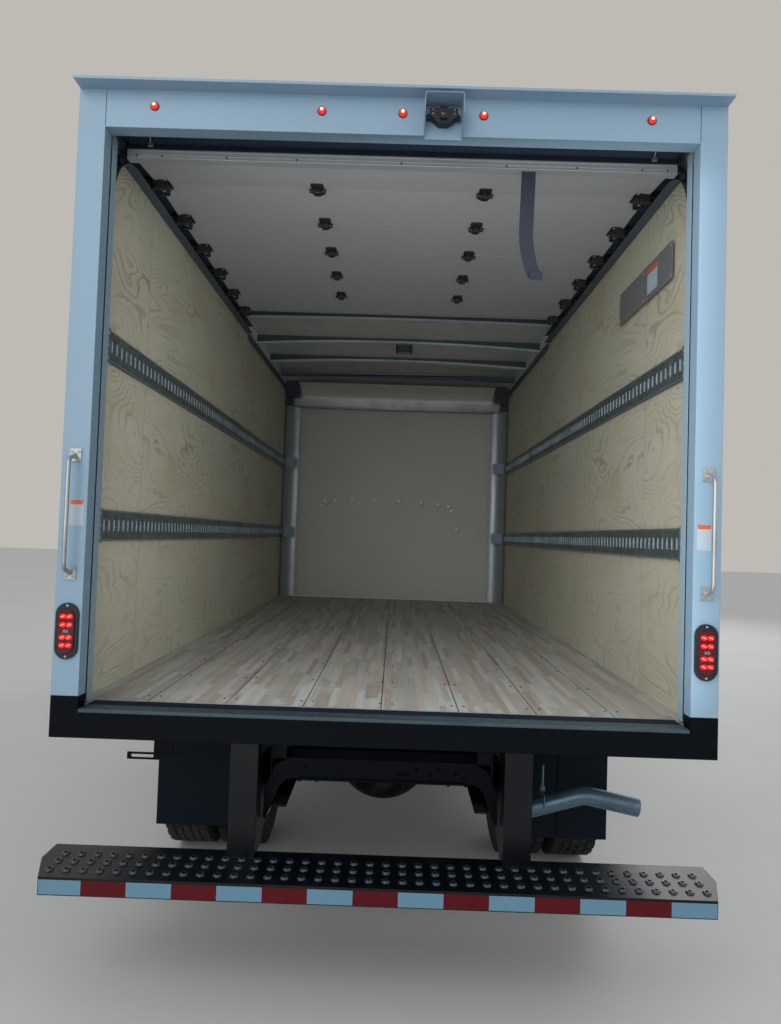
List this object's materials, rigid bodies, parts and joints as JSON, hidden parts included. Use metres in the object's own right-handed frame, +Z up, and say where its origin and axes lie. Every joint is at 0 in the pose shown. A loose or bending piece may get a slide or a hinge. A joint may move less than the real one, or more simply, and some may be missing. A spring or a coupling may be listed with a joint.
{
  "type": "box truck",
  "caption": "Low-cab-forward truck with a dry-freight box body, open roll-up rear door, step bumper and hinged cab doors.",
  "frame": {"origin": "on the ground, on the centreline, at half the overall length", "axes": "+Y points forward, +X to the truck's right, +Z up"},
  "size_m": [2.6, 6.96, 3.2839],
  "materials": {
    "chassis_black": "satin black",
    "engine_iron": "bare casting",
    "tyre_rubber": "matte",
    "rim_white": "gloss",
    "tank_steel": "satin",
    "exhaust_steel": "weathered",
    "flap_rubber": "matte",
    "body_white": "gloss white",
    "bare_aluminium": "mill finish",
    "roof_sheet": "white coated",
    "plywood": "varnished",
    "floor_wood": "laminated oak",
    "door_white": "satin white",
    "webbing": "woven",
    "lamp_red": "moulded",
    "handle_steel": "zinc plated",
    "cab_paint": "gloss white",
    "bumper_paint": "gloss",
    "glass": "clear",
    "lamp_clear": "clear lens",
    "trim_black": "grained",
    "seat_fabric": "woven"
  },
  "bodies": {
    "chassis": {"battery_box": "chassis_black", "body_cross_members": "chassis_black", "camera_hood": "body_white", "cargo_tracks": "bare_aluminium", "door_tracks": "bare_aluminium", "engine_block": "engine_iron", "exhaust": "exhaust_steel", "frame_cross_members": "chassis_black", "frame_rails": "chassis_black", "front_axle_beam": "chassis_black", "front_bumper": "bumper_paint", "front_wall": "body_white", "fuel_tank": "tank_steel", "grab_handles": "handle_steel", "leaf_springs": "chassis_black", "load_floor": "floor_wood", "longsills": "chassis_black", "marker_lamps": "lamp_red", "mud_flaps": "flap_rubber", "plate_bracket": "chassis_black", "propeller_shaft": "chassis_black", "pull_strap": "webbing", "rear_axle": "chassis_black", "rear_header": "body_white", "rear_posts": "body_white", "rear_sill": "chassis_black", "roll_up_door": "door_white", "roof_bows": "bare_aluminium", "roof_skin": "roof_sheet", "side_walls": "body_white", "step_bumper": "chassis_black", "tail_lamps": "lamp_red", "wall_linings": "plywood"},
    "cab": {"cab_front": "cab_paint", "cab_roof": "cab_paint", "cab_back": "cab_paint", "cab_sides": "cab_paint", "cab_floor": "cab_paint", "cab_glass": "glass", "grille": "trim_black", "headlamps": "lamp_clear", "seats": "seat_fabric", "dashboard": "trim_black", "mirrors": "trim_black", "cab_steps": "chassis_black"},
    "door_right": {"cab_door_right": "cab_paint", "door_glass_right": "glass"},
    "door_left": {"cab_door_left": "cab_paint", "door_glass_left": "glass"},
    "knuckle_right": {"steering_knuckle_right": "chassis_black"},
    "knuckle_left": {"steering_knuckle_left": "chassis_black"},
    "front_wheel_right": {"front_rim_right": "rim_white", "front_tyre_right": "tyre_rubber"},
    "front_wheel_left": {"front_rim_left": "rim_white", "front_tyre_left": "tyre_rubber"},
    "rear_wheels_right": {"rear_rims_right": "rim_white", "rear_tyres_right": "tyre_rubber"},
    "rear_wheels_left": {"rear_rims_left": "rim_white", "rear_tyres_left": "tyre_rubber"},
    "hand_wheel": {"steering_wheel": "trim_black"}
  },
  "joints": [
    {"name": "cab_tilt", "type": "hinge", "parent": "chassis", "child": "cab", "pos_m": [0, 3.37, 0.64], "axis": [-1, 0, 0], "range_deg": [0, 45]},
    {"name": "door_right_hinge", "type": "hinge", "parent": "cab", "child": "door_right", "pos_m": [1.002, 3.2855, 1.3], "axis": [0, 0, 1], "range_deg": [0, 70]},
    {"name": "door_left_hinge", "type": "hinge", "parent": "cab", "child": "door_left", "pos_m": [-1.002, 3.2855, 1.3], "axis": [0, 0, -1], "range_deg": [0, 70]},
    {"name": "steer_left", "type": "hinge", "parent": "chassis", "child": "knuckle_left", "pos_m": [-0.71, 2.37, 0.4], "axis": [0, 0, 1], "range_deg": [-35, 35]},
    {"name": "steer_right", "type": "hinge", "parent": "chassis", "child": "knuckle_right", "pos_m": [0.71, 2.37, 0.4], "axis": [0, 0, 1], "range_deg": [-35, 35]},
    {"name": "hand_wheel_turn", "type": "hinge", "parent": "cab", "child": "hand_wheel", "pos_m": [-0.665, 2.91, 1.34], "axis": [0, -0.5, 0.866], "range_deg": [-525, 525]},
    {"name": "front_wheel_right_spin", "type": "hinge", "parent": "knuckle_right", "child": "front_wheel_right", "pos_m": [0.835, 2.37, 0.4], "axis": [1, 0, 0], "continuous": true},
    {"name": "rear_wheels_right_spin", "type": "hinge", "parent": "chassis", "child": "rear_wheels_right", "pos_m": [0.819, -2.1, 0.4], "axis": [1, 0, 0], "continuous": true},
    {"name": "front_wheel_left_spin", "type": "hinge", "parent": "knuckle_left", "child": "front_wheel_left", "pos_m": [-0.835, 2.37, 0.4], "axis": [1, 0, 0], "continuous": true},
    {"name": "rear_wheels_left_spin", "type": "hinge", "parent": "chassis", "child": "rear_wheels_left", "pos_m": [-0.819, -2.1, 0.4], "axis": [1, 0, 0], "continuous": true}
  ],
  "couplings": [
    {"joint": "steer_right", "follows": "steer_left", "ratio": 1},
    {"joint": "hand_wheel_turn", "follows": "steer_left", "ratio": 15}
  ]
}
